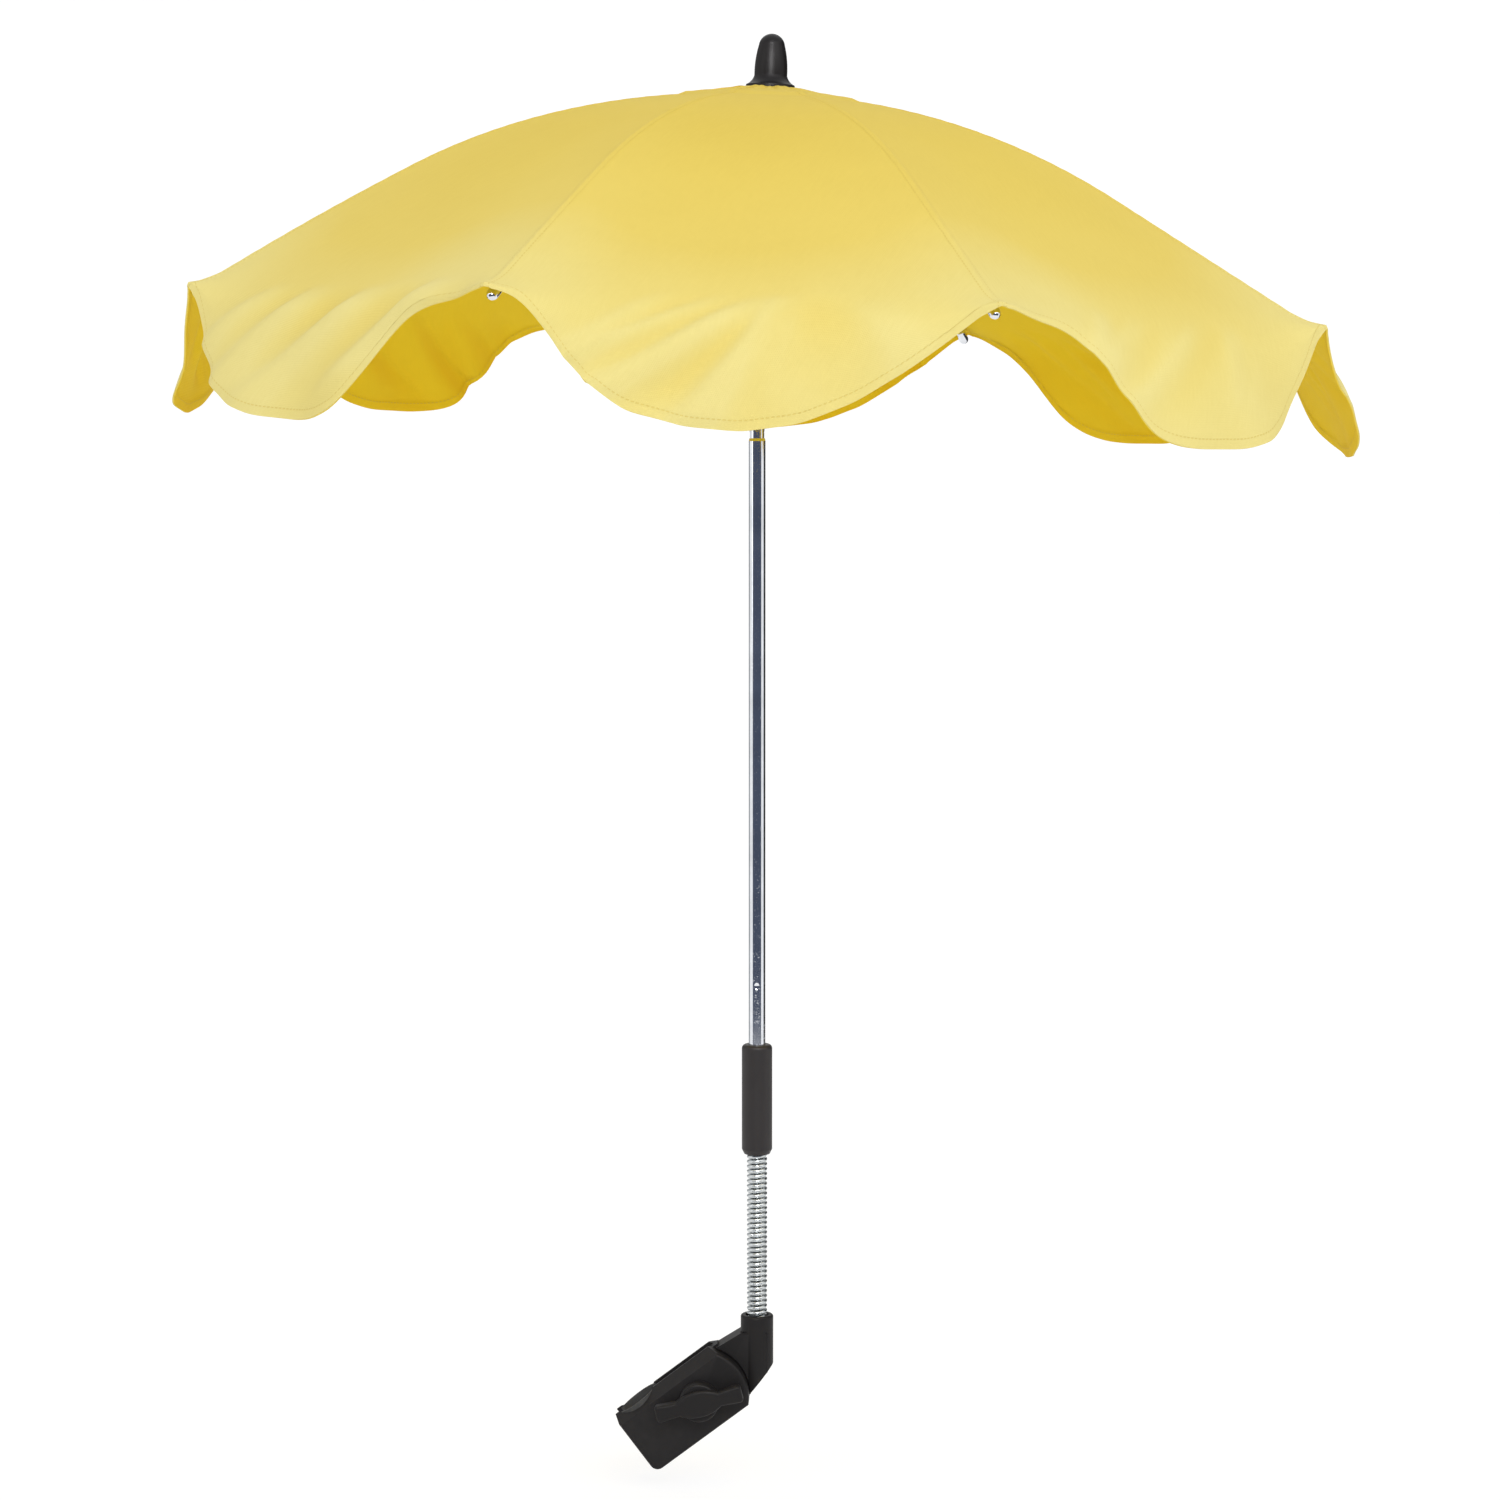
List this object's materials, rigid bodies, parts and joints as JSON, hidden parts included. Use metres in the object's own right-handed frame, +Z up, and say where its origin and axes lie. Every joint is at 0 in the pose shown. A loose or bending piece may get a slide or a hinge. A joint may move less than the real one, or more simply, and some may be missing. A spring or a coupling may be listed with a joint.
{
  "type": "pram parasol",
  "caption": "Clip-on pram parasol: a screw clamp with a swivelling elbow, a bendable coil neck, a chromed pole with a tilt knuckle and a folding scalloped cloth canopy.",
  "frame": {"origin": "centre of the pram handle in the clamp", "axes": "+Z up along the pole, +X to the right of the pictured side, -Y towards the viewer"},
  "size_m": [0.6563, 0.6568, 0.8521],
  "materials": {
    "clamp_plastic": "moulded black",
    "grip_plastic": "moulded dark grey",
    "finial_plastic": "satin black",
    "pad_rubber": "soft grey-black",
    "zinc_steel": "zinc plated",
    "nut_brass": "plain",
    "pole_chrome": "bright plated",
    "canopy_cloth": "plain woven yellow cotton"
  },
  "bodies": {
    "clamp_front": {"front_jaw": "clamp_plastic", "front_pad": "pad_rubber", "knob_washer": "zinc_steel"},
    "clamp_back": {"back_jaw": "clamp_plastic", "back_pad": "pad_rubber", "clamp_bolt": "zinc_steel"},
    "knob": {"wing_knob": "clamp_plastic", "knob_nut": "nut_brass"},
    "elbow": {"elbow": "clamp_plastic", "lower_spigot": "zinc_steel"},
    "neck": {"gooseneck_coil": "zinc_steel", "bend_core": "zinc_steel"},
    "stem": {"upper_spigot": "zinc_steel", "grip_sleeve": "grip_plastic", "lower_tube": "pole_chrome", "knuckle_fork": "pole_chrome", "knuckle_pin": "zinc_steel"},
    "mast": {"knuckle_tongue": "pole_chrome", "upper_tube": "pole_chrome", "crown": "clamp_plastic", "crown_wire": "zinc_steel", "finial": "finial_plastic", "canopy": "canopy_cloth"},
    "catch": {"spring_catch": "zinc_steel"},
    "runner": {"runner": "grip_plastic"},
    "rib_1": {"rib_1": "pole_chrome", "rib_cap_1": "pole_chrome"},
    "stretcher_1": {"stretcher_1": "zinc_steel", "rivet_1": "zinc_steel"},
    "rib_2": {"rib_2": "pole_chrome", "rib_cap_2": "pole_chrome"},
    "stretcher_2": {"stretcher_2": "zinc_steel", "rivet_2": "zinc_steel"},
    "rib_3": {"rib_3": "pole_chrome", "rib_cap_3": "pole_chrome"},
    "stretcher_3": {"stretcher_3": "zinc_steel", "rivet_3": "zinc_steel"},
    "rib_4": {"rib_4": "pole_chrome", "rib_cap_4": "pole_chrome"},
    "stretcher_4": {"stretcher_4": "zinc_steel", "rivet_4": "zinc_steel"},
    "rib_5": {"rib_5": "pole_chrome", "rib_cap_5": "pole_chrome"},
    "stretcher_5": {"stretcher_5": "zinc_steel", "rivet_5": "zinc_steel"},
    "rib_6": {"rib_6": "pole_chrome", "rib_cap_6": "pole_chrome"},
    "stretcher_6": {"stretcher_6": "zinc_steel", "rivet_6": "zinc_steel"},
    "rib_7": {"rib_7": "pole_chrome", "rib_cap_7": "pole_chrome"},
    "stretcher_7": {"stretcher_7": "zinc_steel", "rivet_7": "zinc_steel"},
    "rib_8": {"rib_8": "pole_chrome", "rib_cap_8": "pole_chrome"},
    "stretcher_8": {"stretcher_8": "zinc_steel", "rivet_8": "zinc_steel"}
  },
  "joints": [
    {"name": "knob_turn", "type": "hinge", "parent": "clamp_front", "child": "knob", "pos_m": [0.02635, 0, 0.01986], "axis": [0, -1, 0], "range_deg": [0, 2165]},
    {"name": "jaw_open", "type": "slide", "parent": "clamp_front", "child": "clamp_back", "axis": [0, 1, 0], "range_m": [0, 0.0075]},
    {"name": "elbow_turn", "type": "hinge", "parent": "clamp_front", "child": "elbow", "pos_m": [0.02635, 0, 0.01986], "axis": [0, 1, 0], "range_deg": [-60, 50]},
    {"name": "neck_bend_side", "type": "hinge", "parent": "elbow", "child": "neck", "pos_m": [0.0602, 0, 0.09237], "axis": [0, 1, 0], "range_deg": [-40, 40], "deforming": ["gooseneck_coil", "bend_core"]},
    {"name": "neck_bend_fore", "type": "hinge", "parent": "neck", "child": "stem", "pos_m": [0.0602, 0, 0.14153], "axis": [1, 0, 0], "range_deg": [-40, 40], "deforming": ["gooseneck_coil", "bend_core"]},
    {"name": "canopy_tilt", "type": "hinge", "parent": "stem", "child": "mast", "pos_m": [0.0602, 0, 0.5982], "axis": [0, 1, 0], "range_deg": [-50, 0]},
    {"name": "canopy_fold", "type": "slide", "parent": "mast", "child": "runner", "axis": [-0.0384, 0, -0.9993], "range_m": [0, 0.09399], "deforming": ["canopy", "spring_catch"]},
    {"name": "catch_press", "type": "hinge", "parent": "mast", "child": "catch", "pos_m": [0.06275, -0.0032, 0.66465], "axis": [-0.9993, 0, 0.0384], "range_deg": [0, 3.8], "stiffness_Nm_per_rad": 2},
    {"name": "rib_1_fold", "type": "hinge", "parent": "mast", "child": "rib_1", "pos_m": [0.07678, 0.00383, 0.78911], "axis": [-0.3824, 0.9239, 0.0147], "range_deg": [0, 66.05]},
    {"name": "stretcher_1_fold", "type": "hinge", "parent": "rib_1", "child": "stretcher_1", "pos_m": [0.1411, 0.03061, 0.77862], "axis": [-0.3824, 0.9239, 0.0147], "range_deg": [-107.88, 0]},
    {"name": "rib_2_fold", "type": "hinge", "parent": "mast", "child": "rib_2", "pos_m": [0.07137, 0.00924, 0.78931], "axis": [-0.9232, 0.3827, 0.0355], "range_deg": [0, 66.05]},
    {"name": "stretcher_2_fold", "type": "hinge", "parent": "rib_2", "child": "stretcher_2", "pos_m": [0.09783, 0.07391, 0.78028], "axis": [-0.9232, 0.3827, 0.0355], "range_deg": [-107.88, 0]},
    {"name": "rib_3_fold", "type": "hinge", "parent": "mast", "child": "rib_3", "pos_m": [0.06372, 0.00924, 0.78961], "axis": [-0.9232, -0.3827, 0.0355], "range_deg": [0, 66.05]},
    {"name": "stretcher_3_fold", "type": "hinge", "parent": "rib_3", "child": "stretcher_3", "pos_m": [0.03665, 0.07391, 0.78263], "axis": [-0.9232, -0.3827, 0.0355], "range_deg": [-107.88, 0]},
    {"name": "rib_4_fold", "type": "hinge", "parent": "mast", "child": "rib_4", "pos_m": [0.05832, 0.00383, 0.78982], "axis": [-0.3824, -0.9239, 0.0147], "range_deg": [0, 66.05]},
    {"name": "stretcher_4_fold", "type": "hinge", "parent": "rib_4", "child": "stretcher_4", "pos_m": [-0.00662, 0.03061, 0.78429], "axis": [-0.3824, -0.9239, 0.0147], "range_deg": [-107.88, 0]},
    {"name": "rib_5_fold", "type": "hinge", "parent": "mast", "child": "rib_5", "pos_m": [0.05832, -0.00383, 0.78982], "axis": [0.3824, -0.9239, -0.0147], "range_deg": [0, 66.05]},
    {"name": "stretcher_5_fold", "type": "hinge", "parent": "rib_5", "child": "stretcher_5", "pos_m": [-0.00662, -0.03061, 0.78429], "axis": [0.3824, -0.9239, -0.0147], "range_deg": [-107.88, 0]},
    {"name": "rib_6_fold", "type": "hinge", "parent": "mast", "child": "rib_6", "pos_m": [0.06372, -0.00924, 0.78961], "axis": [0.9232, -0.3827, -0.0355], "range_deg": [0, 66.05]},
    {"name": "stretcher_6_fold", "type": "hinge", "parent": "rib_6", "child": "stretcher_6", "pos_m": [0.03665, -0.07391, 0.78263], "axis": [0.9232, -0.3827, -0.0355], "range_deg": [-107.88, 0]},
    {"name": "rib_7_fold", "type": "hinge", "parent": "mast", "child": "rib_7", "pos_m": [0.07137, -0.00924, 0.78931], "axis": [0.9232, 0.3827, -0.0355], "range_deg": [0, 66.05]},
    {"name": "stretcher_7_fold", "type": "hinge", "parent": "rib_7", "child": "stretcher_7", "pos_m": [0.09783, -0.07391, 0.78028], "axis": [0.9232, 0.3827, -0.0355], "range_deg": [-107.88, 0]},
    {"name": "rib_8_fold", "type": "hinge", "parent": "mast", "child": "rib_8", "pos_m": [0.07678, -0.00383, 0.78911], "axis": [0.3824, 0.9239, -0.0147], "range_deg": [0, 66.05]},
    {"name": "stretcher_8_fold", "type": "hinge", "parent": "rib_8", "child": "stretcher_8", "pos_m": [0.1411, -0.03061, 0.77862], "axis": [0.3824, 0.9239, -0.0147], "range_deg": [-107.88, 0]}
  ],
  "couplings": [
    {"joint": "knob_turn", "follows": "jaw_open", "rad_per_m": 5026.5},
    {"joint": "rib_1_fold", "follows": "canopy_fold", "rad_per_m": 12.256},
    {"joint": "stretcher_1_fold", "follows": "canopy_fold", "rad_per_m": -20.015},
    {"joint": "rib_2_fold", "follows": "canopy_fold", "rad_per_m": 12.256},
    {"joint": "stretcher_2_fold", "follows": "canopy_fold", "rad_per_m": -20.015},
    {"joint": "rib_3_fold", "follows": "canopy_fold", "rad_per_m": 12.256},
    {"joint": "stretcher_3_fold", "follows": "canopy_fold", "rad_per_m": -20.015},
    {"joint": "rib_4_fold", "follows": "canopy_fold", "rad_per_m": 12.256},
    {"joint": "stretcher_4_fold", "follows": "canopy_fold", "rad_per_m": -20.015},
    {"joint": "rib_5_fold", "follows": "canopy_fold", "rad_per_m": 12.256},
    {"joint": "stretcher_5_fold", "follows": "canopy_fold", "rad_per_m": -20.015},
    {"joint": "rib_6_fold", "follows": "canopy_fold", "rad_per_m": 12.256},
    {"joint": "stretcher_6_fold", "follows": "canopy_fold", "rad_per_m": -20.015},
    {"joint": "rib_7_fold", "follows": "canopy_fold", "rad_per_m": 12.256},
    {"joint": "stretcher_7_fold", "follows": "canopy_fold", "rad_per_m": -20.015},
    {"joint": "rib_8_fold", "follows": "canopy_fold", "rad_per_m": 12.256},
    {"joint": "stretcher_8_fold", "follows": "canopy_fold", "rad_per_m": -20.015}
  ]
}
